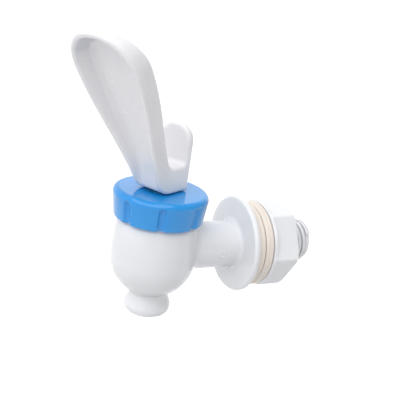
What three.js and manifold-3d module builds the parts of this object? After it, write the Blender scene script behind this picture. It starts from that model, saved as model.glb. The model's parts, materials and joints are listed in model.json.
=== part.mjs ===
import * as THREE from 'three';
import { mergeVertices } from 'three/addons/utils/BufferGeometryUtils.js';
import Module from 'manifold-3d';

// A push-lever tap for the wall of a water dispenser, in millimetres, +Z up.
// Every piece is drawn about the tap's centre, where the upright main axis meets the inlet
// axis, and the inlet runs along +Y. The finished group is then moved so that its origin is
// the centre of the seat on the front of the dispenser's wall.

// ---- Resolution and clearances ----
const ROUND_SIDES = 40; // a multiple of four, so that a round reaches its full size on X, Y and Z
const SMALL_SIDES = 20;
const GROOVE_SIDES = 12;
const QUARTER_STEPS = 5;
const SMALL_STEPS = 3;
const LARGE_STEPS = 9;
const WELD = 1e-4;
const CUT_PAST = 2; // how far a cutting tool runs past the face it enters
const SEAT_GAP = 0.25; // between faces that rest on each other
const THREAD_GAP = 0.25; // between a male thread's crest and the bore around it
const PIN_RUNNING_GAP = 0.12;
const PIN_PRESS_GAP = 0.04;

// ---- Body: bulb, chamber and spout ----
const BULB_RADIUS = 14.6;
const BULB_WALL = 3.8;
const BULB_CENTRE_Z = -2.7;
const BULB_SHOULDER_INSET = 1.0;
const BULB_SHOULDER_HEIGHT = 2.6;
const NECK_WALL = 2.1;
const SPOUT_LENGTH = 6.4; // below the bulb's lowest point
const SPOUT_NECK_RADIUS = 6.9;
const SPOUT_LIP_RADIUS = 8.1;
const SPOUT_LIP_HEIGHT = 5.2;
const SPOUT_LIP_FULLEST = 0.55; // share of the lip's height at which it is fullest
const SPOUT_RIM_INSET = 1.9;
const OUTLET_RADIUS = 4.2;
const SEAT_RING_WALL = 1.8;
const SEAT_RING_HEIGHT = 2.2;

// ---- Body: inlet, flange and threaded shank ----
const PIPE_RADIUS = 8.4;
const PIPE_LENGTH = 15.6; // from the bulb's side to the flange
const PIPE_FILLET = 1.6;
const INLET_RADIUS = 5.6;
const FLANGE_RADIUS = 17.25;
const FLANGE_THICKNESS = 2.2;
const FLANGE_ROUND = 0.8;
const SHANK_RADIUS = 7.95; // the M16 thread's crest
const SHANK_LENGTH = 27.9; // behind the flange
const SHANK_CHAMFER = 0.9;

// ---- Collar ----
const COLLAR_FOOT_Z = 11.4;
const COLLAR_HEIGHT = 9.6;
const COLLAR_WALL = 2.85;
const COLLAR_TAPER = 0.85; // how much narrower the foot is than the top, on the radius
const COLLAR_TOP_WALL = 2.3;
const COLLAR_ROUND = 1.9;
const COLLAR_HOLE_GAP = 0.35;
const GRIP_COUNT = 8;
const GRIP_RADIUS = 1.35;
const GRIP_DEPTH = 0.8;
const GRIP_TOP_INSET = 1.9;
const GRIP_TURN = -19.5; // degrees from +X to the first groove

// ---- Silicone seat cup ----
const CUP_RADIUS = 7.1;
const CUP_WALL = 1.2;
const CUP_CHAMBER_GAP = 1.0;
const CUP_RIM_THICKNESS = 1.3;
const CUP_RIM_INSET = 0.2;
const CUP_FLEX_LOW_Z = 4.2;
const CUP_FLEX_HIGH_Z = 9.2;
const PLUG_OVERHANG = 0.4; // past the seat ring
const PLUG_THICKNESS = 3.2;
const PLUG_ROUND = 0.5;
const SOCKET_LIP = 1.1;

// ---- Valve stem and spring ----
const STEM_RADIUS = 2.6;
const STEM_GAP = 0.3;
const BUTTON_RADIUS = 4.4;
const BUTTON_THICKNESS = 1.8;
const BUTTON_CHAMFER = 0.4;
const SPRING_SEAT_RADIUS = 5.3;
const SPRING_SEAT_THICKNESS = 1.5;
const SPRING_SEAT_RISE = 6.4; // from the cup's floor to the underside of the spring seat
const HEAD_RADIUS = 2.9;
const SPRING_RADIUS = 3.9; // to the middle of the wire
const WIRE_RADIUS = 0.4;
const SPRING_TURNS = 8;
const SPRING_STEPS_PER_TURN = 16;
const WIRE_SIDES = 6;
const SPRING_END_TURNS = 1; // closed turns at each end

// ---- Lever ----
const LEVER_SWIVEL = 28.6; // degrees, how far the lever is turned on its stem
const LEVER_PRESS = 30; // degrees of travel
const FOOT_GAP = 0.3;
const CAM_RADIUS = 4.2; // stem lift for each radian of lever travel
const CAM_STEPS = 6;
const BASE_WIDTH = 12.4;
const FOOT_REAR = 5.9;
const PIN_HEIGHT = 4.1; // above the foot
const PIN_RADIUS = 1.3;
const PIN_SETBACK = 0.4; // the pin's end below the lever's side
const PIN_FAR_WALL = 1.3;
const SLOT_SIDE_GAP = 0.3;
const SLOT_HEAD_GAP = 0.35;
const SADDLE_HEIGHT = 8.9;
const EAR_HEIGHT = 22.1;
const EAR_THICKNESS = 2.9;
const EAR_REAR = 6.0;
const EAR_EDGE_ROUND = 1.4;
const EAR_CORNER_RADIUS = 5.8;
const PADDLE_LEAN = 34.0; // degrees from upright
const PADDLE_LENGTH = 57.5;
const PADDLE_TIP_RADIUS = 12.5;
const PADDLE_FLARE_START = 16; // how far up the edges stay close to the base's width
const PADDLE_FLARE_END = 16; // how far below the tip's centre they have nearly spread to its width
const PADDLE_DEPTH = 6.1;
const PADDLE_TIP_ROUND = 7.0; // how far the tip is rounded off at the back
const PADDLE_TIP_SWEEP = 28; // radius of that rounding seen from the back
const RIM_WIDTH = 1.2;
const WEB_THICKNESS = 1.4;
const RECESS_START = 5.5;
const RECESS_START_DEPTH = 2.6;

// ---- Washers and lock nut ----
const WASHER_RADIUS = 15.4;
const WASHER_THICKNESS = 3.1;
const WASHER_ROUND = 0.6;
const WASHER_BORE_GAP = 0.35;
const NUT_CORNER_RADIUS = 16.1;
const NUT_LENGTH = 10.8;
const NUT_RING_THICKNESS = 1.5;
const NUT_RING_RADIUS = 15.5;
const NUT_TURN = -2; // degrees from +X to the nearest corner
const NUT_CHAMFER = 1.2;
const HEXAGON_SIDES = 6;

// ---- Sizes that follow from the ones above ----
const chamberRadius = BULB_RADIUS - BULB_WALL;
const neckRadius = chamberRadius + NECK_WALL;
const collarBore = neckRadius + THREAD_GAP;
const collarRadius = collarBore + COLLAR_WALL;
const collarTopZ = COLLAR_FOOT_Z + COLLAR_HEIGHT;
const ceilingZ = collarTopZ - COLLAR_TOP_WALL;
const cupRimTopZ = ceilingZ - SEAT_GAP;
const cupRimZ = cupRimTopZ - CUP_RIM_THICKNESS;
const neckTopZ = cupRimZ - SEAT_GAP;
const shoulderZ = COLLAR_FOOT_Z - SEAT_GAP;
const spoutTipZ = BULB_CENTRE_Z - BULB_RADIUS - SPOUT_LENGTH;
const seatRingRadius = OUTLET_RADIUS + SEAT_RING_WALL;
const chamberFloorZ = BULB_CENTRE_Z - Math.sqrt(chamberRadius ** 2 - seatRingRadius ** 2);
const valveSeatZ = chamberFloorZ + SEAT_RING_HEIGHT;
const plugBottomZ = valveSeatZ + SEAT_GAP;
const cupFloorZ = plugBottomZ + PLUG_THICKNESS;
const buttonZ = cupFloorZ + STEM_GAP;
const buttonTopZ = buttonZ + BUTTON_THICKNESS;
const springSeatZ = cupFloorZ + SPRING_SEAT_RISE + SPRING_SEAT_THICKNESS;
const flangeFrontY = BULB_RADIUS + PIPE_LENGTH;
const flangeRearY = flangeFrontY + FLANGE_THICKNESS;
const frontWasherY = flangeRearY + SEAT_GAP;
const panelSeatY = frontWasherY + WASHER_THICKNESS;
const rearWasherY = panelSeatY + SEAT_GAP;
const nutY = rearWasherY + WASHER_THICKNESS + SEAT_GAP;
const shankEndY = flangeRearY + SHANK_LENGTH;
const footZ = collarTopZ + FOOT_GAP;
const pinZ = footZ + PIN_HEIGHT;
const saddleZ = footZ + SADDLE_HEIGHT;
const earTopZ = footZ + EAR_HEIGHT;
const lean = THREE.MathUtils.degToRad(PADDLE_LEAN);
const press = THREE.MathUtils.degToRad(LEVER_PRESS);
const slotHalfWidth = STEM_RADIUS + SLOT_SIDE_GAP;
const tipCentre = PADDLE_LENGTH - PADDLE_TIP_RADIUS; // how far up the paddle its round tip is centred

const wasm = await Module();
wasm.setup();

// ---- Tools ----

const point = (x, y) => new THREE.Vector2(x, y);

/** Points along an elliptical arc, from one angle to another, in degrees. */
function arc(centre, radiusX, radiusY, from, to, steps = QUARTER_STEPS) {
  return Array.from({ length: steps + 1 }, (_, i) => {
    const angle = THREE.MathUtils.degToRad(from + ((to - from) * i) / steps);
    return point(centre.x + radiusX * Math.cos(angle), centre.y + radiusY * Math.sin(angle));
  });
}

/** Triangles of an indexed geometry with no collapsed ones, facing out of the solid. */
function outwardTriangles(geometry) {
  const position = geometry.getAttribute('position');
  const corner = [new THREE.Vector3(), new THREE.Vector3(), new THREE.Vector3()];
  const triangles = [];
  let volume = 0;
  for (let i = 0; i < geometry.index.count; i += 3) {
    const ids = [0, 1, 2].map((k) => geometry.index.getX(i + k));
    if (new Set(ids).size === 3) {
      ids.forEach((id, k) => corner[k].fromBufferAttribute(position, id));
      volume += corner[0].dot(corner[1].clone().cross(corner[2]));
      triangles.push(ids);
    }
  }
  return new Uint32Array((volume < 0 ? triangles.map((ids) => ids.reverse()) : triangles).flat());
}

/** A closed geometry as a solid that can be joined and cut. */
function solidOf(geometry) {
  geometry.deleteAttribute('normal');
  geometry.deleteAttribute('uv');
  const merged = mergeVertices(geometry, WELD);
  return new wasm.Manifold(new wasm.Mesh({
    numProp: 3,
    vertProperties: merged.getAttribute('position').array,
    triVerts: outwardTriangles(merged),
  }));
}

/** A profile of (radius, height) points turned about the upright axis. */
function turnedUpright(profile, sides = ROUND_SIDES) {
  return solidOf(new THREE.LatheGeometry(profile, sides).rotateX(Math.PI / 2));
}

/** A profile of (radius, distance) points turned about the inlet axis. */
function turnedAlongInlet(profile, sides = ROUND_SIDES) {
  return solidOf(new THREE.LatheGeometry(profile, sides));
}

/** A round bar from one point to another. */
function bar(radius, from, to, sides = SMALL_SIDES) {
  const along = new THREE.Vector3().subVectors(to, from);
  const turn = new THREE.Quaternion().setFromUnitVectors(
    new THREE.Vector3(0, 1, 0),
    along.clone().normalize(),
  );
  const middle = new THREE.Vector3().addVectors(from, to).multiplyScalar(0.5);
  const geometry = new THREE.CylinderGeometry(radius, radius, along.length(), sides);
  geometry.applyQuaternion(turn);
  return solidOf(geometry.translate(middle.x, middle.y, middle.z));
}

/** A box between two opposite corners. */
function block(low, high) {
  const size = new THREE.Vector3().subVectors(high, low);
  const geometry = new THREE.BoxGeometry(size.x, size.y, size.z);
  return solidOf(geometry.translate(low.x + size.x / 2, low.y + size.y / 2, low.z + size.z / 2));
}

const vector = (x, y, z) => new THREE.Vector3(x, y, z);

/** An outline pushed along its own normal, from z = 0. */
function pushed(outline, depth) {
  return new THREE.ExtrudeGeometry(new THREE.Shape(outline), { depth, bevelEnabled: false });
}

/** A (y, z) side outline pushed across the lever's width, centred. */
function acrossLever(outline, width) {
  const axes = new THREE.Matrix4().makeBasis(vector(0, 1, 0), vector(0, 0, 1), vector(1, 0, 0));
  return solidOf(pushed(outline, width).translate(0, 0, -width / 2).applyMatrix4(axes));
}

/** A solid as a named mesh with its own finish. */
function piece(name, solid, finish) {
  const made = solid.getMesh();
  const geometry = new THREE.BufferGeometry();
  geometry.setAttribute('position', new THREE.BufferAttribute(made.vertProperties, made.numProp));
  geometry.setIndex(new THREE.BufferAttribute(made.triVerts, 1));
  geometry.computeVertexNormals();
  const mesh = new THREE.Mesh(geometry, new THREE.MeshStandardMaterial(finish));
  mesh.name = name;
  return mesh;
}

const whitePlastic = { color: 0xf2f2f4, roughness: 0.28, metalness: 0 };
const bluePlastic = { color: 0x3d93dd, roughness: 0.25, metalness: 0 };
const creamSilicone = { color: 0xe6d3bd, roughness: 0.6, metalness: 0 };
const clearSilicone = { color: 0xe9e6df, roughness: 0.5, metalness: 0 };
const springSteel = { color: 0xb9bcc0, roughness: 0.3, metalness: 1 };

// ---- Body ----

/** Outside of the neck, bulb and spout, solid to the axis. */
function bulbOutside() {
  const joint = THREE.MathUtils.radToDeg(Math.acos(SPOUT_NECK_RADIUS / BULB_RADIUS));
  const lipTopZ = spoutTipZ + SPOUT_LIP_HEIGHT;
  const lipMiddleZ = spoutTipZ + SPOUT_LIP_HEIGHT * SPOUT_LIP_FULLEST;
  const rimRadius = SPOUT_LIP_RADIUS - SPOUT_RIM_INSET;
  const shoulderEdge = point(BULB_RADIUS - BULB_SHOULDER_INSET, shoulderZ - BULB_SHOULDER_HEIGHT);
  return turnedUpright([
    point(0, spoutTipZ),
    ...arc(point(rimRadius, lipMiddleZ), SPOUT_RIM_INSET, lipMiddleZ - spoutTipZ, -90, 0),
    ...arc(point(SPOUT_NECK_RADIUS, lipMiddleZ), SPOUT_LIP_RADIUS - SPOUT_NECK_RADIUS,
      lipTopZ - lipMiddleZ, 30, 90, SMALL_STEPS),
    ...arc(point(0, BULB_CENTRE_Z), BULB_RADIUS, BULB_RADIUS, -joint, 0, LARGE_STEPS),
    ...arc(shoulderEdge, BULB_SHOULDER_INSET, BULB_SHOULDER_HEIGHT, 0, 90, SMALL_STEPS),
    point(neckRadius, shoulderZ),
    point(neckRadius, neckTopZ),
    point(0, neckTopZ),
  ]);
}

/** Inlet pipe, flange and shank, solid to the axis. */
function inletOutside() {
  const filletRadius = PIPE_RADIUS + PIPE_FILLET;
  return turnedAlongInlet([
    point(0, 0),
    point(PIPE_RADIUS, 0),
    ...arc(point(filletRadius, flangeFrontY - PIPE_FILLET), PIPE_FILLET, PIPE_FILLET, 180, 90,
      SMALL_STEPS),
    ...arc(point(FLANGE_RADIUS - FLANGE_ROUND, flangeFrontY + FLANGE_ROUND),
      FLANGE_ROUND, FLANGE_ROUND, -90, 0, SMALL_STEPS),
    point(FLANGE_RADIUS, flangeRearY),
    point(SHANK_RADIUS, flangeRearY),
    point(SHANK_RADIUS, shankEndY - SHANK_CHAMFER),
    point(SHANK_RADIUS - SHANK_CHAMFER, shankEndY),
    point(0, shankEndY),
  ]);
}

/** The valve chamber: open at the neck, with the seat ring left standing on its floor. */
function chamber() {
  const floorAngle = THREE.MathUtils.radToDeg(Math.acos(seatRingRadius / chamberRadius));
  return turnedUpright([
    point(0, valveSeatZ),
    point(seatRingRadius, valveSeatZ),
    ...arc(point(0, BULB_CENTRE_Z), chamberRadius, chamberRadius, -floorAngle, 0, QUARTER_STEPS),
    point(chamberRadius, neckTopZ + CUT_PAST),
    point(0, neckTopZ + CUT_PAST),
  ]);
}

function makeBody() {
  const outlet = bar(OUTLET_RADIUS, vector(0, 0, spoutTipZ - CUT_PAST), vector(0, 0, valveSeatZ + CUT_PAST));
  const inlet = bar(INLET_RADIUS, vector(0, 0, 0), vector(0, shankEndY + CUT_PAST, 0), ROUND_SIDES);
  const body = bulbOutside().add(inletOutside()).subtract(chamber()).subtract(outlet).subtract(inlet);
  return piece('tap_body', body, whitePlastic);
}

// ---- Collar ----

function gripGroove(index) {
  const angle = THREE.MathUtils.degToRad(GRIP_TURN + (index * 360) / GRIP_COUNT);
  const axisRadius = collarRadius + GRIP_RADIUS - GRIP_DEPTH;
  const footRadius = axisRadius - COLLAR_TAPER;
  const [c, s] = [Math.cos(angle), Math.sin(angle)];
  const low = vector(footRadius * c, footRadius * s, COLLAR_FOOT_Z - CUT_PAST);
  const high = vector(axisRadius * c, axisRadius * s, collarTopZ - GRIP_TOP_INSET);
  return bar(GRIP_RADIUS, low, high, GROOVE_SIDES);
}

function makeCollar() {
  const holeRadius = STEM_RADIUS + COLLAR_HOLE_GAP;
  const sideTop = point(collarRadius - COLLAR_ROUND, collarTopZ - COLLAR_ROUND);
  let collar = turnedUpright([
    point(holeRadius, ceilingZ),
    point(collarBore, ceilingZ),
    point(collarBore, COLLAR_FOOT_Z),
    point(collarRadius - COLLAR_TAPER, COLLAR_FOOT_Z),
    ...arc(sideTop, COLLAR_ROUND, COLLAR_ROUND, 0, 90),
    point(holeRadius, collarTopZ),
    point(holeRadius, ceilingZ),
  ]);
  for (let i = 0; i < GRIP_COUNT; i += 1) collar = collar.subtract(gripGroove(i));
  return piece('collar', collar, bluePlastic);
}

// ---- Silicone seat cup ----

function makeSeatCup() {
  const topRadius = chamberRadius - CUP_CHAMBER_GAP;
  const rimRadius = neckRadius - CUP_RIM_INSET;
  const plugRadius = seatRingRadius + PLUG_OVERHANG;
  const bore = CUP_RADIUS - CUP_WALL;
  const socketRadius = BUTTON_RADIUS + STEM_GAP;
  const lipRadius = STEM_RADIUS + STEM_GAP;
  const lipZ = buttonTopZ + STEM_GAP;
  const cup = turnedUpright([
    point(0, plugBottomZ),
    point(plugRadius - PLUG_ROUND, plugBottomZ),
    point(plugRadius, plugBottomZ + PLUG_ROUND),
    point(plugRadius, cupFloorZ),
    point(CUP_RADIUS, cupFloorZ + SOCKET_LIP),
    point(CUP_RADIUS, CUP_FLEX_LOW_Z),
    point(topRadius, CUP_FLEX_HIGH_Z),
    point(topRadius, cupRimZ),
    point(rimRadius, cupRimZ),
    point(rimRadius, cupRimTopZ),
    point(topRadius - CUP_WALL, cupRimTopZ),
    point(topRadius - CUP_WALL, CUP_FLEX_HIGH_Z),
    point(bore, CUP_FLEX_LOW_Z),
    point(bore, lipZ + SOCKET_LIP),
    point(lipRadius, lipZ + SOCKET_LIP),
    point(lipRadius, lipZ),
    point(socketRadius, lipZ),
    point(socketRadius, cupFloorZ),
    point(0, cupFloorZ),
  ]);
  return piece('seat_cup', cup, clearSilicone);
}

// ---- Valve stem ----

function makeStem() {
  const shaft = turnedUpright([
    point(0, buttonZ),
    point(BUTTON_RADIUS - BUTTON_CHAMFER, buttonZ),
    point(BUTTON_RADIUS, buttonZ + BUTTON_CHAMFER),
    point(BUTTON_RADIUS, buttonTopZ),
    point(STEM_RADIUS, buttonTopZ),
    point(STEM_RADIUS, springSeatZ - SPRING_SEAT_THICKNESS),
    point(SPRING_SEAT_RADIUS, springSeatZ - SPRING_SEAT_THICKNESS),
    point(SPRING_SEAT_RADIUS, springSeatZ),
    point(STEM_RADIUS, springSeatZ),
    point(STEM_RADIUS, pinZ),
    point(0, pinZ),
  ], SMALL_SIDES);
  const head = bar(HEAD_RADIUS, vector(-STEM_RADIUS, 0, pinZ), vector(STEM_RADIUS, 0, pinZ));
  const eye = bar(PIN_RADIUS + PIN_PRESS_GAP, vector(-STEM_RADIUS - CUT_PAST, 0, pinZ),
    vector(STEM_RADIUS + CUT_PAST, 0, pinZ));
  return piece('valve_stem', shaft.add(head).subtract(eye), whitePlastic);
}

// ---- Return spring ----

/** The middle of the wire: an even coil whose end turns lie closed. */
class SpringLine extends THREE.Curve {
  constructor(lowZ, highZ) {
    super();
    this.lowZ = lowZ;
    this.highZ = highZ;
  }

  getPoint(t, target = new THREE.Vector3()) {
    const turn = t * SPRING_TURNS;
    const angle = turn * 2 * Math.PI;
    return target.set(SPRING_RADIUS * Math.cos(angle), SPRING_RADIUS * Math.sin(angle), this.height(turn));
  }

  /** Closed end turns climb by a wire's thickness, and the open ones share the rest. */
  height(turn) {
    const closedPitch = 2 * WIRE_RADIUS + SEAT_GAP;
    const closedRise = SPRING_END_TURNS * closedPitch;
    const openTurns = SPRING_TURNS - 2 * SPRING_END_TURNS;
    const openRise = this.highZ - this.lowZ - 2 * closedRise;
    const low = Math.min(turn, SPRING_END_TURNS) * closedPitch;
    const open = THREE.MathUtils.clamp((turn - SPRING_END_TURNS) / openTurns, 0, 1) * openRise;
    const high = Math.max(turn - SPRING_END_TURNS - openTurns, 0) * closedPitch;
    return this.lowZ + low + open + high;
  }
}

function makeSpring() {
  const section = new THREE.Shape(arc(point(0, 0), WIRE_RADIUS, WIRE_RADIUS, 0, 360, WIRE_SIDES).slice(1));
  const endGap = WIRE_RADIUS + SEAT_GAP;
  const geometry = new THREE.ExtrudeGeometry(section, {
    steps: SPRING_TURNS * SPRING_STEPS_PER_TURN,
    extrudePath: new SpringLine(springSeatZ + endGap, ceilingZ - endGap),
  });
  return piece('return_spring', solidOf(geometry), springSteel);
}

// ---- Lever ----

/** The foot's rolling edge: it keeps its height over the collar as the stem lifts. */
function camPoint(angle) {
  const reach = PIN_HEIGHT + CAM_RADIUS * angle;
  const [c, s] = [Math.cos(angle), Math.sin(angle)];
  return point(-CAM_RADIUS * c - reach * s, pinZ + CAM_RADIUS * s - reach * c);
}

/** Where the paddle's front face starts, as (y, z). */
const paddleRoot = camPoint(press);

/** A (y, z) point of the side view, from a length up the paddle and a depth behind its front. */
function onPaddle(length, depth) {
  return point(
    paddleRoot.x - length * Math.sin(lean) + depth * Math.cos(lean),
    paddleRoot.y + length * Math.cos(lean) + depth * Math.sin(lean),
  );
}

/** Side outline of the foot, saddle and ear. */
function baseSide() {
  const cam = Array.from({ length: CAM_STEPS + 1 }, (_, i) => camPoint((press * i) / CAM_STEPS));
  const saddleLength = (saddleZ - paddleRoot.y - PADDLE_DEPTH * Math.sin(lean)) / Math.cos(lean);
  const earFront = EAR_REAR - EAR_THICKNESS;
  const earRound = point((EAR_REAR + earFront) / 2, earTopZ - EAR_EDGE_ROUND);
  return [
    point(FOOT_REAR, footZ),
    ...cam,
    onPaddle(saddleLength, PADDLE_DEPTH),
    point(earFront, saddleZ),
    ...arc(earRound, EAR_THICKNESS / 2, EAR_EDGE_ROUND, 180, 0, 2 * SMALL_STEPS),
    point(EAR_REAR, saddleZ),
  ];
}

/** Front outline of the base and ear, as (x, z). */
function earFrontOutline() {
  const half = BASE_WIDTH / 2;
  const cornerZ = earTopZ - EAR_CORNER_RADIUS;
  const flat = half - EAR_CORNER_RADIUS;
  return [
    point(-half, footZ - CUT_PAST),
    point(half, footZ - CUT_PAST),
    ...arc(point(flat, cornerZ), EAR_CORNER_RADIUS, EAR_CORNER_RADIUS, 0, 90),
    ...arc(point(-flat, cornerZ), EAR_CORNER_RADIUS, EAR_CORNER_RADIUS, 90, 180),
  ];
}

/** One edge of the paddle from its root to the side of its round tip, as (across, along). */
const paddleEdge = new THREE.CubicBezierCurve(
  point(BASE_WIDTH / 2, 0),
  point(BASE_WIDTH / 2, PADDLE_FLARE_START),
  point(PADDLE_TIP_RADIUS, tipCentre - PADDLE_FLARE_END),
  point(PADDLE_TIP_RADIUS, tipCentre),
);

/** The paddle's outline with its flared edges, all set in by the same width. */
function paddleOutline(inset) {
  const edge = Array.from({ length: LARGE_STEPS }, (_, i) => {
    const tangent = paddleEdge.getTangent(i / LARGE_STEPS);
    const place = paddleEdge.getPoint(i / LARGE_STEPS);
    return point(place.x - inset * tangent.y, place.y + inset * tangent.x);
  });
  const tipRadius = PADDLE_TIP_RADIUS - inset;
  return [
    ...edge,
    ...arc(point(0, tipCentre), tipRadius, tipRadius, 0, 180, 2 * LARGE_STEPS),
    ...edge.map((p) => point(-p.x, p.y)).reverse(),
  ];
}

/** Limits of the tip's depth, rounded off at the back, and of the straight part below it. */
function tipLimits(inset, depth, front) {
  const centre = PADDLE_LENGTH - PADDLE_TIP_SWEEP;
  const round = PADDLE_TIP_ROUND - inset;
  const dome = turnedUpright([
    point(0, -depth),
    ...arc(point(PADDLE_TIP_SWEEP - PADDLE_TIP_ROUND, 0), round, depth, -90, 0, LARGE_STEPS),
    point(PADDLE_TIP_SWEEP - inset, front),
    point(0, front),
  ]).translate([0, centre, 0]);
  const low = vector(-PADDLE_TIP_RADIUS - CUT_PAST, -CUT_PAST, -depth);
  return dome.add(block(low, vector(PADDLE_TIP_RADIUS + CUT_PAST, centre, front)));
}

/** A paddle shape, its outline set in by a width, lying flat with its front face at z = 0. */
function flatPaddle(inset, depth, front) {
  const outline = pushed(paddleOutline(inset), depth + front).translate(0, 0, -depth);
  return solidOf(outline).intersect(tipLimits(inset, depth, front));
}

/** The space over the recess's sloping floor. */
function recessSlope(floorDepth) {
  const floorEnd = PADDLE_LENGTH - PADDLE_TIP_ROUND;
  return acrossLever([
    point(RECESS_START, CUT_PAST),
    point(RECESS_START, -RECESS_START_DEPTH),
    point(floorEnd, -floorDepth),
    point(PADDLE_LENGTH, -floorDepth),
    point(PADDLE_LENGTH, CUT_PAST),
  ], 2 * PADDLE_TIP_RADIUS);
}

/** A tray: a thin rim round a recess whose floor falls away towards the tip. */
function makePaddle() {
  const floorDepth = PADDLE_DEPTH - WEB_THICKNESS;
  const recess = flatPaddle(RIM_WIDTH, floorDepth, CUT_PAST).intersect(recessSlope(floorDepth));
  return flatPaddle(0, PADDLE_DEPTH, 0)
    .subtract(recess)
    .rotate([90 + PADDLE_LEAN, 0, 0])
    .translate([0, paddleRoot.x, paddleRoot.y]);
}

/** Room for the stem's head, with its swing as the lever is pressed. */
function stemSlot() {
  const swing = STEM_RADIUS * Math.cos(press) + (PIN_HEIGHT + STEM_RADIUS) * Math.sin(press);
  return block(
    vector(-slotHalfWidth, -swing, footZ - CUT_PAST),
    vector(slotHalfWidth, HEAD_RADIUS + SLOT_HEAD_GAP, pinZ + HEAD_RADIUS + SLOT_HEAD_GAP),
  );
}

const pinFarEnd = BASE_WIDTH / 2 - PIN_FAR_WALL;

function makeLever() {
  const front = pushed(earFrontOutline(), 2 * PADDLE_LENGTH).rotateX(Math.PI / 2);
  const ear = acrossLever(baseSide(), BASE_WIDTH).intersect(solidOf(front.translate(0, PADDLE_LENGTH, 0)));
  const pinHole = bar(PIN_RADIUS + PIN_RUNNING_GAP, vector(-BASE_WIDTH, 0, pinZ), vector(pinFarEnd, 0, pinZ));
  return piece('lever', ear.add(makePaddle()).subtract(stemSlot()).subtract(pinHole), whitePlastic);
}

function makeLeverPin() {
  const pin = bar(PIN_RADIUS, vector(PIN_SETBACK - BASE_WIDTH / 2, 0, pinZ),
    vector(pinFarEnd - SEAT_GAP, 0, pinZ));
  return piece('lever_pin', pin, whitePlastic);
}

// ---- Washers and lock nut ----

function makeWasher(name, y) {
  const bore = SHANK_RADIUS + WASHER_BORE_GAP;
  const edge = WASHER_RADIUS - WASHER_ROUND;
  const far = y + WASHER_THICKNESS;
  const washer = turnedAlongInlet([
    point(bore, y),
    ...arc(point(edge, y + WASHER_ROUND), WASHER_ROUND, WASHER_ROUND, -90, 0, 2),
    ...arc(point(edge, far - WASHER_ROUND), WASHER_ROUND, WASHER_ROUND, 0, 90, 2),
    point(bore, far),
    point(bore, y),
  ]);
  return piece(name, washer, creamSilicone);
}

function makeLockNut() {
  const bore = SHANK_RADIUS + THREAD_GAP;
  const ringTop = nutY + NUT_RING_THICKNESS;
  const end = nutY + NUT_LENGTH;
  const corner = NUT_CORNER_RADIUS;
  const hexagonLength = end - ringTop;
  const hexagon = new THREE.CylinderGeometry(corner, corner, hexagonLength, HEXAGON_SIDES)
    .rotateY(THREE.MathUtils.degToRad(90 - NUT_TURN))
    .translate(0, ringTop + hexagonLength / 2, 0);
  const turnedCorners = turnedAlongInlet([
    point(0, nutY),
    point(corner, nutY),
    point(corner, end - NUT_CHAMFER / 2),
    point(corner - NUT_CHAMFER, end),
    point(0, end),
  ]);
  const ring = turnedAlongInlet([
    point(0, nutY),
    point(NUT_RING_RADIUS, nutY),
    point(NUT_RING_RADIUS, ringTop),
    point(0, ringTop),
  ]);
  const hole = bar(bore, vector(0, nutY - CUT_PAST, 0), vector(0, end + CUT_PAST, 0), ROUND_SIDES);
  const nut = solidOf(hexagon).intersect(turnedCorners).add(ring).subtract(hole);
  return piece('lock_nut', nut, whitePlastic);
}

// ---- The tap ----

const turningPieces = new THREE.Group();
turningPieces.rotation.z = THREE.MathUtils.degToRad(LEVER_SWIVEL);
turningPieces.add(makeStem(), makeLever(), makeLeverPin());

const tap = new THREE.Group();
tap.position.y = -panelSeatY;
tap.add(
  makeBody(),
  makeCollar(),
  makeSeatCup(),
  makeSpring(),
  turningPieces,
  makeWasher('front_washer', frontWasherY),
  makeWasher('rear_washer', rearWasherY),
  makeLockNut(),
);

const part = new THREE.Group();
part.add(tap);

export default part;
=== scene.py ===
"""The looks of a lever tap for a water dispenser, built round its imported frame.

Lengths inside the classes are in millimetres in the tap's own frame: its upright main axis is Z, its
inlet runs along +Y, and both cross at the origin. Meshes are written in metres in the part's frame.
"""

from __future__ import annotations

import json
import logging
import math
from dataclasses import dataclass, field
from enum import Enum
from typing import Callable, Sequence

import bmesh
import bpy
import numpy as np
from mathutils import Matrix, Vector

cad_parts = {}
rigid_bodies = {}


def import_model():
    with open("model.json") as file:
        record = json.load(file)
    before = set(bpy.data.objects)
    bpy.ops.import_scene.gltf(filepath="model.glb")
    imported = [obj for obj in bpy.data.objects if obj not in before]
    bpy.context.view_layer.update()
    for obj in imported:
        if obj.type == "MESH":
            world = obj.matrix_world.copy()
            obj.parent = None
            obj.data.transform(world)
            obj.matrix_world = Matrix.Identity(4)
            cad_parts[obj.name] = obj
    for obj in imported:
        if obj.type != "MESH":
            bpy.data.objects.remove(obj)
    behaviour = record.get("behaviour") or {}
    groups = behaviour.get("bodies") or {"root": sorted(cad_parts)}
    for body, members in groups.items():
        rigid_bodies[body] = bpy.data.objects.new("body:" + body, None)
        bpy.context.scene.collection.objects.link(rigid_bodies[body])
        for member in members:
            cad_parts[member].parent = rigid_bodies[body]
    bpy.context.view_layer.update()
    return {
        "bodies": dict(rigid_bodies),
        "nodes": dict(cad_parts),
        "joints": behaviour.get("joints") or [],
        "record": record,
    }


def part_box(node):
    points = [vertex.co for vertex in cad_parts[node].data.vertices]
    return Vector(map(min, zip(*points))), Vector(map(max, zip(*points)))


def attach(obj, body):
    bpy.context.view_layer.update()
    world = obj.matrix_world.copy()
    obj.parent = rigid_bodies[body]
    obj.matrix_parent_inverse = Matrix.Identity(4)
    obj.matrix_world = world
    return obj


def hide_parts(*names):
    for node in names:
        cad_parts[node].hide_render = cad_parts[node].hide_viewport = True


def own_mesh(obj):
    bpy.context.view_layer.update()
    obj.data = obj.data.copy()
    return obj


LOG = logging.getLogger("lever_tap")
MM = 0.001
COLOUR, NUMBER = "NodeSocketColor", "NodeSocketFloat"
Colour = tuple[float, float, float]
Grid = np.ndarray
FieldFunction = Callable[[Grid, Grid, Grid], Grid]


# ---- Places that the frame gives ----


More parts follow.
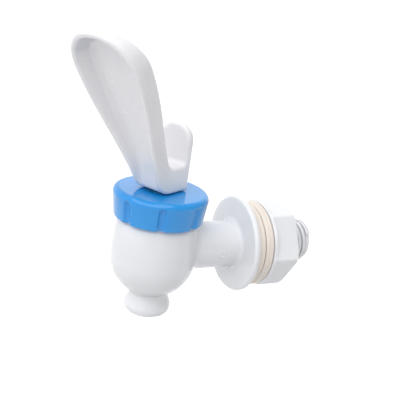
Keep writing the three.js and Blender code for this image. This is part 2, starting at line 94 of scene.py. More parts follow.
@dataclass(frozen=True)
class Places:
    """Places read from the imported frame, in millimetres and radians."""

    axis_y: float
    pin_z: float
    swivel: float
    lift: float

    @classmethod
    def read(cls, frame: dict) -> "Places":
        """Finds the main axis, the lever's pin and the lever's turn.


        Returns:
            The places.
        """
        joints = {joint["name"]: joint for joint in frame["joints"]}
        press = joints["lever_press"]
        across = press["axis"]
        return cls(
            axis_y=joints["lever_swivel"]["pos_m"][1] / MM,
            pin_z=press["pos_m"][2] / MM,
            swivel=math.atan2(across[1], across[0]),
            lift=joints["stem_lift"]["range_m"][1],
        )

    def in_part(self, points: Grid) -> Grid:
        """Turns millimetres in the tap's frame into metres in the part's frame."""
        return (points + np.array([0.0, self.axis_y, 0.0])) * MM

    def turned(self, points: Grid) -> Grid:
        """Turns points in the lever's own frame by the lever's swivel."""
        c, s = math.cos(self.swivel), math.sin(self.swivel)
        x, y, z = points.T
        return np.stack([x * c - y * s, x * s + y * c, z], axis=1)


def node_box(places: Places, node: str) -> tuple[Grid, Grid]:
    """Gives a CAD node's corners in the tap's frame.

    Args:
        places: the frame's places.
        node: the CAD node's name.

    Returns:
        The lowest and the highest corner, in millimetres.
    """
    low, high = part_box(node)
    shift = np.array([0.0, places.axis_y, 0.0])
    return np.array(low) / MM - shift, np.array(high) / MM - shift


# ---- Solid shapes as distance fields ----


def meet(a: Grid, b: Grid, radius: float = 0.0) -> Grid:
    """Keeps what lies in both shapes, with the edge between them rounded off.

    Args:
        a: the first shape's distances.
        b: the second shape's distances.
        radius: the rounding's radius.

    Returns:
        The distances of what is kept.
    """
    if radius <= 0:
        return np.maximum(a, b)
    edge = np.hypot(np.maximum(radius + a, 0), np.maximum(radius + b, 0))
    return np.minimum(-radius, np.maximum(a, b)) + edge


def join(a: Grid, b: Grid, radius: float = 0.0) -> Grid:
    """Joins two shapes, with a fillet between them."""
    return -meet(-a, -b, radius)


def cut(a: Grid, b: Grid, radius: float = 0.0) -> Grid:
    """Takes the second shape out of the first, with the edge rounded off."""
    return meet(a, -b, radius)


def within(value: Grid, low: float, high: float) -> Grid:
    """Distances of a slab between two limits."""
    return np.abs(value - (low + high) / 2) - (high - low) / 2


def rod(distance: Grid, radius: float, along: Grid, low: float, high: float, rounding: float) -> Grid:
    """Distances of a round rod with rounded ends.

    Args:
        distance: each point's distance from the rod's axis.
        radius: the rod's radius.
        along: each point's place along the axis.
        low: where the rod starts.
        high: where it ends.
        rounding: the radius of its end edges.

    Returns:
        The distances.
    """
    return meet(distance - radius, within(along, low, high), rounding)


@dataclass
class Skin:
    """Meshes the surface of a distance field with even quads that lie exactly on it."""

    name: str
    shape: FieldFunction
    low: Sequence[float]
    high: Sequence[float]
    cell: float
    relax_rounds: int = 4
    settle_rounds: int = 3
    slope_step: float = 0.08
    margin_low: float = 1.7
    margin_high: float = 2.6

    def _gradient(self, points: Grid) -> tuple[Grid, Grid]:
        """Gives the field and its slope at each point."""
        step = self.cell * self.slope_step
        value = self.shape(*points.T)
        slope = np.empty_like(points)
        for axis in range(3):
            shift = np.zeros(3)
            shift[axis] = step
            ahead, behind = (points + shift).T, (points - shift).T
            slope[:, axis] = (self.shape(*ahead) - self.shape(*behind)) / (2 * step)
        return value, slope

    def _settle(self, points: Grid, rounds: int) -> Grid:
        """Moves points onto the surface along the field's slope."""
        for _ in range(rounds):
            value, slope = self._gradient(points)
            steep = np.maximum((slope**2).sum(axis=1), 1e-4)
            move = slope * (value / steep)[:, None]
            length = np.linalg.norm(move, axis=1)
            limit = np.minimum(1, self.cell / np.maximum(length, 1e-9))
            points = points - move * limit[:, None]
        return points

    @staticmethod
    def _quads(inside: Grid, cells: Grid) -> Grid:
        """Makes one quad across each grid edge that the surface cuts, facing out."""
        quads = []
        for axis in range(3):
            first = np.moveaxis(inside, axis, 0)
            grid = np.moveaxis(cells, axis, 0)
            start, end = first[:-1, 1:-1, 1:-1], first[1:, 1:-1, 1:-1]
            ring = [grid[:, :-1, :-1], grid[:, 1:, :-1], grid[:, 1:, 1:], grid[:, :-1, 1:]]
            if axis == 1:  # the two other axes swap hands
                ring = ring[::-1]
            for crossing, order in ((start & ~end, ring), (~start & end, ring[::-1])):
                quads.append(np.stack([corner[crossing] for corner in order], axis=1))
        return np.concatenate(quads)

    def build(self) -> tuple[Grid, Grid, Grid]:
        """Meshes the shape.

        Returns:
            The points, the quads and the normals.
        """
        axes = [
            np.arange(low - self.margin_low * self.cell, high + self.margin_high * self.cell, self.cell)
            for low, high in zip(self.low, self.high)
        ]
        x, y, z = axes[0][:, None, None], axes[1][None, :, None], axes[2][None, None, :]
        shape = tuple(len(axis) for axis in axes)
        inside = np.broadcast_to(self.shape(x, y, z), shape) < 0
        count = np.zeros(tuple(n - 1 for n in shape), np.int8)
        for i, j, k in np.ndindex(2, 2, 2):
            count += inside[i : shape[0] - 1 + i, j : shape[1] - 1 + j, k : shape[2] - 1 + k]
        active = (count > 0) & (count < 8)
        cells = np.full(count.shape, -1)
        cells[active] = np.arange(active.sum())
        corner = np.argwhere(active)
        points = np.stack([axes[a][corner[:, a]] + self.cell / 2 for a in range(3)], axis=1)
        quads = self._quads(inside, cells)
        points = self._settle(points, self.settle_rounds)
        for _ in range(self.relax_rounds):
            points = self._settle(self._relaxed(points, quads), 1)
        points = self._settle(points, self.settle_rounds)
        _, slope = self._gradient(points)
        normals = slope / np.maximum(np.linalg.norm(slope, axis=1), 1e-9)[:, None]
        return points, quads, normals

    @staticmethod
    def _relaxed(points: Grid, quads: Grid) -> Grid:
        """Moves each point halfway to the middle of its neighbours."""
        a = quads.ravel()
        b = np.roll(quads, -1, axis=1).ravel()
        ends, others = np.concatenate([a, b]), np.concatenate([b, a])
        number = np.maximum(np.bincount(ends, minlength=len(points)), 1)
        mean = np.stack(
            [np.bincount(ends, points[others, i], len(points)) / number for i in range(3)], axis=1
        )
        return (points + mean) / 2


# ---- Meshes ----


def placed(name: str, data: bpy.types.ID) -> bpy.types.Object:
    """Makes an object that carries some data, and links it to the scene."""
    made = bpy.data.objects.new(name, data)
    bpy.context.scene.collection.objects.link(made)
    return made


def new_piece(
    name: str, points: Grid, faces: Grid, normals: Grid | None = None
) -> bpy.types.Object:
    """Makes a smooth mesh object at the origin.

    Args:
        name: the object's name.
        points: metres in the part's frame.
        faces: rows of point numbers.
        normals: one outward normal for each point, or None.

    Returns:
        The object.
    """
    mesh = bpy.data.meshes.new(name)
    mesh.from_pydata(points.tolist(), [], faces.tolist())
    mesh.validate()
    mesh.shade_smooth()
    if normals is not None:
        mesh.normals_split_custom_set_from_vertices(normals.tolist())
    return placed(name, mesh)


def skinned_piece(places: Places, skin: Skin, turned: bool = False) -> bpy.types.Object:
    """Meshes a distance field as a piece in its place.

    Args:
        places: the frame's places.
        skin: the shape to mesh.
        turned: whether it turns with the lever's swivel.

    Returns:
        The object.
    """
    points, quads, normals = skin.build()
    if turned:
        points, normals = places.turned(points), places.turned(normals)
    return new_piece(skin.name, places.in_part(points), quads, normals)


def arc(
    centre: tuple[float, float], radius: float, start: float, end: float, steps: int
) -> list[tuple[float, float]]:
    """Points on an arc of a profile, between two angles in degrees."""
    angles = np.radians(np.linspace(start, end, steps))
    return [(centre[0] + radius * math.cos(a), centre[1] + radius * math.sin(a)) for a in angles]


class Axis(Enum):
    """The axis that a turned piece is round."""

    UPRIGHT = "z"
    INLET = "y"


@dataclass
class Turning:
    """A closed profile of (radius, distance along the axis) turned into a ring."""

    name: str
    profile: Sequence[tuple[float, float]]
    sides: int
    axis: Axis = Axis.UPRIGHT
    flat_weight: int = 80

    def build(self, places: Places) -> bpy.types.Object:
        """Makes the ring in its place, with its flat faces kept flat in the shading."""
        radius, along = np.array(self.profile).T
        count = len(radius)
        angle = np.arange(self.sides) * 2 * math.pi / self.sides
        cosine, sine = np.cos(angle)[:, None], np.sin(angle)[:, None]
        level = np.broadcast_to(along, (self.sides, count))
        if self.axis is Axis.UPRIGHT:
            grid = np.stack([radius * cosine, radius * sine, level], axis=2)
        else:
            grid = np.stack([radius * sine, level, radius * cosine], axis=2)
        i, j = np.meshgrid(np.arange(self.sides), np.arange(count), indexing="ij")
        ahead, upper = (i + 1) % self.sides, (j + 1) % count
        faces = np.stack(
            [i * count + j, ahead * count + j, ahead * count + upper, i * count + upper], axis=2
        ).reshape(-1, 4)
        if self._area(radius, along) < 0:
            faces = faces[:, ::-1]
        piece = new_piece(self.name, places.in_part(grid.reshape(-1, 3)), faces)
        piece.modifiers.new("even_shading", "WEIGHTED_NORMAL").weight = self.flat_weight
        return piece

    @staticmethod
    def _area(radius: Grid, along: Grid) -> float:
        """Signed area of the profile, positive when it runs anticlockwise."""
        return float((radius * np.roll(along, -1) - np.roll(radius, -1) * along).sum()) / 2


# ---- Node trees ----


def shader_group(
    name: str, inputs: Sequence[tuple[str, str, object]], outputs: Sequence[tuple[str, str]]
) -> tuple[bpy.types.ShaderNodeTree, bpy.types.Node, bpy.types.Node]:
    """Starts a shader node group.

    Args:
        name: the group's name.
        inputs: each input's name, socket type and default.
        outputs: each output's name and socket type.

    Returns:
        The group, its input node and its output node.
    """
    group = bpy.data.node_groups.new(name, "ShaderNodeTree")
    for label, kind, default in inputs:
        socket = group.interface.new_socket(label, in_out="INPUT", socket_type=kind)
        socket.default_value = default
    for label, kind in outputs:
        group.interface.new_socket(label, in_out="OUTPUT", socket_type=kind)
    return group, group.nodes.new("NodeGroupInput"), group.nodes.new("NodeGroupOutput")


def feed(tree: bpy.types.NodeTree, socket: bpy.types.NodeSocket, value: object) -> None:
    """Gives an input a plain value, a colour, a term or another node's result."""
    value = value.socket if isinstance(value, Term) else value
    if isinstance(value, bpy.types.NodeSocket):
        tree.links.new(value, socket)
    elif socket.type == "RGBA":
        socket.default_value = (*value, 1.0)
    else:
        socket.default_value = value


def feed_all(tree: bpy.types.NodeTree, node: bpy.types.Node, values: dict[object, object]) -> None:
    """Gives a node's inputs their values, by name or by place."""
    for label, value in values.items():
        feed(tree, node.inputs[label], value)


def add_math(tree: bpy.types.NodeTree, operation: str, *values: object) -> bpy.types.NodeSocket:
    """Adds a math node, whose values may be numbers or sockets, and gives its result."""
    node = tree.nodes.new("ShaderNodeMath")
    node.operation = operation
    feed_all(tree, node, dict(enumerate(values)))
    return node.outputs[0]


@dataclass(frozen=True)
class Term:
    """A number inside a node tree, whose sums and products add math nodes."""

    tree: bpy.types.NodeTree
    socket: bpy.types.NodeSocket

    def math(self, operation: str, *others: object) -> Term:
        """Adds a math node on this term and others, which may be plain numbers."""
        plain = [other.socket if isinstance(other, Term) else other for other in others]
        return Term(self.tree, add_math(self.tree, operation, self.socket, *plain))

    def __add__(self, other: object) -> Term:
        """Adds another term or number."""
        return self.math("ADD", other)

    def __sub__(self, other: object) -> Term:
        """Takes another term or number away."""
        return self.math("SUBTRACT", other)

    def __mul__(self, other: object) -> Term:
        """Multiplies by another term or number."""
        return self.math("MULTIPLY", other)

    def __truediv__(self, other: object) -> Term:
        """Divides by another term or number."""
        return self.math("DIVIDE", other)

    def __rtruediv__(self, number: float) -> Term:
        """Divides a plain number by this term."""
        return Term(self.tree, add_math(self.tree, "DIVIDE", number, self.socket))


def add_noise(
    tree: bpy.types.NodeTree, vector: object, scale: object, detail: float, rough: float = 0.5
) -> bpy.types.NodeSocket:
    """Adds a noise texture on a vector, whose scale may be a number or a socket."""
    node = tree.nodes.new("ShaderNodeTexNoise")
    feed_all(tree, node, {"Vector": vector, "Scale": scale, "Detail": detail, "Roughness": rough})
    return node.outputs["Fac"]


def add_range(tree: bpy.types.NodeTree, value: object, limits: Sequence[object]) -> bpy.types.NodeSocket:
    """Maps a value between ranges; limits are from-low, from-high, to-low and to-high."""
    node = tree.nodes.new("ShaderNodeMapRange")
    labels = ("Value", "From Min", "From Max", "To Min", "To Max")
    feed_all(tree, node, dict(zip(labels, (value, *limits))))
    return node.outputs["Result"]


def add_mix(
    tree: bpy.types.NodeTree, share: object, first: object, second: object
) -> bpy.types.NodeSocket:
    """Mixes two colours by a share, each a socket or a colour."""
    node = tree.nodes.new("ShaderNodeMix")
    node.data_type = "RGBA"
    feed_all(tree, node, {0: share, 6: first, 7: second})
    return node.outputs[2]


def add_bump(tree: bpy.types.NodeTree, height: object, depth: float) -> bpy.types.NodeSocket:
    """Adds a bump of a depth in millimetres, and gives its normal."""
    node = tree.nodes.new("ShaderNodeBump")
    feed_all(tree, node, {"Strength": 1.0, "Distance": depth * MM, "Height": height})
    return node.outputs["Normal"]


def moulded_skin_group() -> bpy.types.ShaderNodeTree:
    """Colour drift, orange peel and fine rubbing marks of a moulded surface.

    Returns:
        The group, with Color, Roughness and Height outputs.
    """
    found = bpy.data.node_groups.get("moulded_skin")
    if found:
        return found
    group, given, result = shader_group(
        "moulded_skin",
        [
            ("Base", COLOUR, (0.8, 0.8, 0.8, 1)),
            ("Drift", COLOUR, (0.7, 0.7, 0.7, 1)),
            ("Drift Scale", NUMBER, 45.0),
            ("Peel Scale", NUMBER, 900.0),
            ("Smooth", NUMBER, 0.2),
            ("Rubbed", NUMBER, 0.35),
            ("Mark Scale", NUMBER, 260.0),
        ],
        [("Color", COLOUR), ("Roughness", NUMBER), ("Height", NUMBER)],
    )
    place = group.nodes.new("ShaderNodeTexCoord").outputs["Object"]
    drift = add_noise(group, place, given.outputs["Drift Scale"], 3.0)
    share = add_range(group, drift, (0.36, 0.66, 0.0, 1.0))
    colour = add_mix(group, share, given.outputs["Base"], given.outputs["Drift"])
    peel = add_noise(group, place, given.outputs["Peel Scale"], 2.0, 0.4)
    stretch = group.nodes.new("ShaderNodeMapping")
    slant = {"Vector": place, "Scale": (1.0, 0.35, 3.0), "Rotation": (0.4, 0.9, 0.3)}
    feed_all(group, stretch, slant)
    marks = add_noise(group, stretch.outputs["Vector"], given.outputs["Mark Scale"], 5.0, 0.7)
    rubbed = add_range(group, marks, (0.45, 0.75, given.outputs["Smooth"], given.outputs["Rubbed"]))
    feed_all(group, result, {"Color": colour, "Roughness": rubbed, "Height": peel})
    return group


def settled_dust_group() -> bpy.types.ShaderNodeTree:
    """A mask of fine specks that lie on surfaces facing up.

    Returns:
        The group, with a Mask output.
    """
    found = bpy.data.node_groups.get("settled_dust")
    if found:
        return found
    group, given, result = shader_group(
        "settled_dust", [("Speck Scale", NUMBER, 1500.0), ("Amount", NUMBER, 0.2)], [("Mask", NUMBER)]
    )
    place = group.nodes.new("ShaderNodeTexCoord").outputs["Object"]
    specks = add_noise(group, place, given.outputs["Speck Scale"], 2.0, 0.8)
    sharp = add_range(group, specks, (0.62, 0.72, 0.0, 1.0))
    facing = group.nodes.new("ShaderNodeNewGeometry").outputs["Normal"]
    split = group.nodes.new("ShaderNodeSeparateXYZ")
    group.links.new(facing, split.inputs[0])
    upward = add_range(group, split.outputs["Z"], (-0.2, 0.9, 0.1, 1.0))
    amount = add_math(group, "MULTIPLY", upward, given.outputs["Amount"])
    group.links.new(add_math(group, "MULTIPLY", sharp, amount), result.inputs["Mask"])
    return group


@dataclass(frozen=True)
class Finish:
    """A finish, whose material is made once and shared by the pieces that have it."""

    name: str
    slot: str
    base: Colour

    def dress(self, tree: bpy.types.NodeTree) -> dict[str, object]:
        """Adds the finish's own nodes, and gives the shader's values."""
        raise NotImplementedError

    def material(self) -> bpy.types.Material:
        """Finds the finish's material, or builds it."""
        found = bpy.data.materials.get(self.name)
        if found:
            return found
        made = bpy.data.materials.new(self.name)
        made.use_nodes = True
        made.diffuse_color = (*self.base, 1.0)
        tree = made.node_tree
        feed_all(tree, tree.nodes["Principled BSDF"], self.dress(tree))
        return made


@dataclass(frozen=True)
class Moulded(Finish):
    """A moulded plastic or rubber finish."""

    drift: Colour
    dust: Colour = (0.75, 0.74, 0.72)
    drift_scale: float = 40.0
    peel_scale: float = 700.0
    peel_depth: float = 0.02
    smooth: float = 0.16
    rubbed: float = 0.3
    mark_scale: float = 240.0
    dust_amount: float = 0.15
    dust_rough: float = 0.4
    glow: float = 0.0
    glow_reach: float = 0.002
    glow_colour: Colour = (1.0, 0.95, 0.9)
    coat: float = 0.0
    coat_rough: float = 0.08
    sheen: float = 0.0

    def dress(self, tree: bpy.types.NodeTree) -> dict[str, object]:
        """Adds the moulded skin and the dust, and gives the shader's values."""
        skin, dust = (tree.nodes.new("ShaderNodeGroup") for _ in range(2))
        skin.node_tree, dust.node_tree = moulded_skin_group(), settled_dust_group()
        skin_values = {
            "Base": self.base,
            "Drift": self.drift,
            "Drift Scale": self.drift_scale,
            "Peel Scale": self.peel_scale,
            "Smooth": self.smooth,
            "Rubbed": self.rubbed,
            "Mark Scale": self.mark_scale,
        }
        feed_all(tree, skin, skin_values)
        feed_all(tree, dust, {"Amount": self.dust_amount})
        mask, rough = dust.outputs["Mask"], skin.outputs["Roughness"]
        return {
            "Base Color": add_mix(tree, mask, skin.outputs["Color"], self.dust),
            "Roughness": add_math(tree, "MULTIPLY_ADD", mask, self.dust_rough, rough),
            "Normal": add_bump(tree, skin.outputs["Height"], self.peel_depth),
            "Subsurface Weight": self.glow,
            "Subsurface Scale": self.glow_reach,
            "Subsurface Radius": self.glow_colour,
            "Coat Weight": self.coat,
            "Coat Roughness": self.coat_rough,
            "Sheen Weight": self.sheen,
        }


@dataclass(frozen=True)
class DrawnWire(Finish):
    """Bright steel wire with fine drawing lines and a slight tarnish."""

    tarnish: Colour
    stain_scale: float = 420.0
    line_scale: float = 5200.0
    line_depth: float = 0.004
    rough_low: float = 0.18
    rough_high: float = 0.42

    def dress(self, tree: bpy.types.NodeTree) -> dict[str, object]:
        """Adds the tarnish and the drawing lines, and gives the shader's values."""
        place = tree.nodes.new("ShaderNodeTexCoord").outputs["Object"]
        stain = add_range(tree, add_noise(tree, place, self.stain_scale, 4.0), (0.4, 0.65, 0.0, 1.0))
        lines = add_noise(tree, place, self.line_scale, 2.0)
        return {
            "Base Color": add_mix(tree, stain, self.base, self.tarnish),
            "Roughness": add_range(tree, lines, (0.3, 0.7, self.rough_low, self.rough_high)),
            "Normal": add_bump(tree, lines, self.line_depth),
            "Metallic": 1.0,
        }


WHITE = Moulded(
    "white_moulding", "white_plastic", base=(0.745, 0.745, 0.755), drift=(0.72, 0.722, 0.74),
    glow=0.35, glow_reach=0.0025, smooth=0.14, rubbed=0.24, coat=0.15,
)
LEVER_WHITE = Moulded(
    "white_lever_moulding", "white_plastic", base=(0.785, 0.775, 0.785), drift=(0.76, 0.75, 0.765),
    glow=0.3, glow_reach=0.002, smooth=0.2, rubbed=0.32, peel_scale=520.0,
)
BLUE = Moulded(
    "blue_moulding", "blue_plastic", base=(0.003, 0.25, 0.65), drift=(0.006, 0.27, 0.68),
    glow=0.08, glow_reach=0.0015, smooth=0.08, rubbed=0.16, coat=0.3, dust_amount=0.05,
)
CREAM = Moulded(
    "cream_silicone_moulding", "cream_silicone", base=(0.76, 0.69, 0.625), drift=(0.71, 0.635, 0.565),
    glow=0.3, glow_reach=0.002, smooth=0.42, rubbed=0.6, peel_scale=1400.0, peel_depth=0.03,
    dust_amount=0.3, sheen=0.1,
)
MILKY = Moulded(
    "milky_silicone", "clear_silicone", base=(0.80, 0.78, 0.72), drift=(0.73, 0.71, 0.64),
    glow=0.6, glow_reach=0.004, smooth=0.35, rubbed=0.55, peel_scale=1200.0, dust_amount=0.05,
)
STEEL = DrawnWire(
    "drawn_steel_wire", "spring_steel", base=(0.55, 0.56, 0.58), tarnish=(0.42, 0.41, 0.40),
)


def fit(piece: bpy.types.Object, finish: Finish, body: str, nodes: Sequence[str] = ()) -> bpy.types.Object:
    """Dresses a piece, hides the CAD nodes that it stands for and hangs it on its body.

    Args:
        piece: the finished mesh.
        finish: its finish.
        body: the body that it moves with.
        nodes: the CAD nodes that it stands for.

    Returns:
        The piece.
    """
    piece.data.materials.clear()
    piece.data.materials.append(finish.material())
    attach(piece, body)
    if nodes:
        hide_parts(*nodes)
    LOG.info("%s: %d faces on %s", piece.name, len(piece.data.polygons), body)
    return piece


# ---- Geometry Nodes trees ----


class NodeBuilder:
    """Builds a Geometry Nodes tree with named number inputs and turns its result into a mesh."""

    def __init__(self, name: str, sizes: dict[str, float]) -> None:
        """Starts the tree.

        Args:
            name: the tree's name.
            sizes: each input's name and value.
        """
        self.tree = bpy.data.node_groups.new(name, "GeometryNodeTree")
        new_socket = self.tree.interface.new_socket
        for side in ("INPUT", "OUTPUT"):
            new_socket("Geometry", in_out=side, socket_type="NodeSocketGeometry")
        self.sizes = {
            new_socket(label, in_out="INPUT", socket_type=NUMBER).identifier: float(value)
            for label, value in sizes.items()
        }
        self.given = self.tree.nodes.new("NodeGroupInput")
        self.result = self.tree.nodes.new("NodeGroupOutput")

    def term(self, socket: bpy.types.NodeSocket) -> Term:
        """Makes a node's result a term."""
        return Term(self.tree, socket)

    def size(self, label: str) -> Term:
        """Gives a named size."""
        return self.term(self.given.outputs[label])

    def node(
        self, kind: str, values: dict[object, object] | None = None, **settings: object
    ) -> bpy.types.Node:
        """Adds a node, sets its properties, and links or sets its inputs.

        Args:
            kind: the node's type name.
            values: each input's name or place, and a socket, term or value for it.
            settings: properties of the node.

        Returns:
            The node.
        """
        node = self.tree.nodes.new(kind)
        for label, value in settings.items():
            setattr(node, label, value)
        feed_all(self.tree, node, values or {})
        return node

    def finish(self, geometry: bpy.types.NodeSocket, material: bpy.types.Material) -> None:
        """Ends the tree in Realize Instances and Set Material."""
        real = self.node("GeometryNodeRealizeInstances", {"Geometry": geometry})
        dressed = self.node("GeometryNodeSetMaterial", {"Geometry": real.outputs[0], "Material": material})
        self.tree.links.new(dressed.outputs[0], self.result.inputs[0])

    def run(self, piece: bpy.types.Object) -> bpy.types.Object:
        """Runs the tree on an object and gives the result as a plain mesh object.

        Args:
            piece: the object that the tree starts from, which is removed.

        Returns:
            The new object, with the same name.
        """
        modifier = piece.modifiers.new(self.tree.name, "NODES")
        modifier.node_group = self.tree
        for identifier, value in self.sizes.items():
            modifier[identifier] = value
        graph = bpy.context.evaluated_depsgraph_get()
        graph.update()
        mesh = bpy.data.meshes.new_from_object(piece.evaluated_get(graph), depsgraph=graph)
        name = piece.name
        bpy.data.objects.remove(piece)
        mesh.name = name
        return placed(name, mesh)


@dataclass
class Coil:
    """A helix along the upright axis, or laid along the inlet, swept with a small section."""

    name: str
    radius: float
    low: float
    high: float
    turns: float
    width: float
    crest: float
    height: float
    closed_turns: float = 0.0
    closed_pitch: float = 0.0
    steps_per_turn: int = 48
    along_inlet: bool = False
    wire_sides: int = 14

    def _line(self, builder: NodeBuilder) -> bpy.types.NodeSocket:
        """Lays out the helix as a curve."""
        size = builder.size
        count = int(self.turns * self.steps_per_turn) + 1
        straight = builder.node("GeometryNodeCurvePrimitiveLine")
        even = builder.node("GeometryNodeResampleCurve", {"Curve": straight.outputs[0], "Count": count})
        share = builder.term(builder.node("GeometryNodeSplineParameter").outputs["Factor"])
        turns, closed, pitch = size("Turns"), size("Closed Turns"), size("Closed Pitch")
        turn = share * turns
        angle = turn * (2 * math.pi)
        open_turns = turns - closed * 2.0
        open_rise = size("High") - size("Low") - closed * pitch * 2.0
        first = turn.math("MINIMUM", closed) * pitch
        middle = ((turn - closed) / open_turns).math("MAXIMUM", 0.0).math("MINIMUM", 1.0) * open_rise
        last = (turn - closed - open_turns).math("MAXIMUM", 0.0) * pitch
        spot = {
            "X": angle.math("COSINE") * size("Radius"),
            "Y": angle.math("SINE") * size("Radius"),
            "Z": (size("Low") + first) + (middle + last),
        }
        position = builder.node("ShaderNodeCombineXYZ", spot).outputs[0]
        moves = {"Geometry": even.outputs[0], "Position": position}
        curve = builder.node("GeometryNodeSetPosition", moves).outputs[0]
        return builder.node("GeometryNodeSetCurveNormal", {"Curve": curve}, mode="Z_UP").outputs[0]

    def _section(self, builder: NodeBuilder) -> bpy.types.NodeSocket:
        """Draws the swept section: a thread's ridge, or a round wire where the crest has no width."""
        if self.crest <= 0:
            circle = builder.node(
                "GeometryNodeCurvePrimitiveCircle",
                {"Resolution": self.wire_sides, "Radius": builder.size("Width")},
            )
            return circle.outputs[0]
        ridge = builder.node(
            "GeometryNodeCurvePrimitiveQuadrilateral",
            {
                "Bottom Width": builder.size("Width"),
                "Top Width": builder.size("Crest"),
                "Height": builder.size("Height"),
                "Offset": 0.0,
            },
            mode="TRAPEZOID",
        )
        turned = builder.node(
            "GeometryNodeTransform", {"Geometry": ridge.outputs[0], "Rotation": (0.0, 0.0, math.pi / 2)}
        )
        return turned.outputs[0]

    def build(self, places: Places, finish: Finish) -> bpy.types.Object:
        """Makes the coil in its place."""
        builder = NodeBuilder(
            f"{self.name}_tree",
            {
                "Radius": self.radius * MM,
                "Low": self.low * MM,
                "High": self.high * MM,
                "Turns": self.turns,
                "Closed Turns": self.closed_turns,
                "Closed Pitch": self.closed_pitch * MM,
                "Width": self.width * MM,
                "Crest": self.crest * MM,
                "Height": self.height * MM,
            },
        )
        swept = builder.node(
            "GeometryNodeCurveToMesh",
            {0: self._line(builder), 1: self._section(builder), "Fill Caps": True},
        )
        builder.finish(swept.outputs[0], finish.material())
        piece = builder.run(placed(self.name, bpy.data.meshes.new(self.name)))
        turn = Matrix.Rotation(-math.pi / 2, 4, "X") if self.along_inlet else Matrix.Identity(4)
        shift = Matrix.Translation((0, places.axis_y * MM, 0))
        piece.data.transform(shift @ turn)
        recalculate_normals(piece)
        if self.crest <= 0:
            piece.data.shade_smooth()
        return piece


def recalculate_normals(piece: bpy.types.Object) -> None:
    """Turns every face of a closed mesh outwards."""
    made = bmesh.new()
    made.from_mesh(piece.data)
    bmesh.ops.remove_doubles(made, verts=made.verts, dist=1e-7)
    bmesh.ops.recalc_face_normals(made, faces=made.faces)
    made.to_mesh(piece.data)
    made.free()


# ---- The body ----


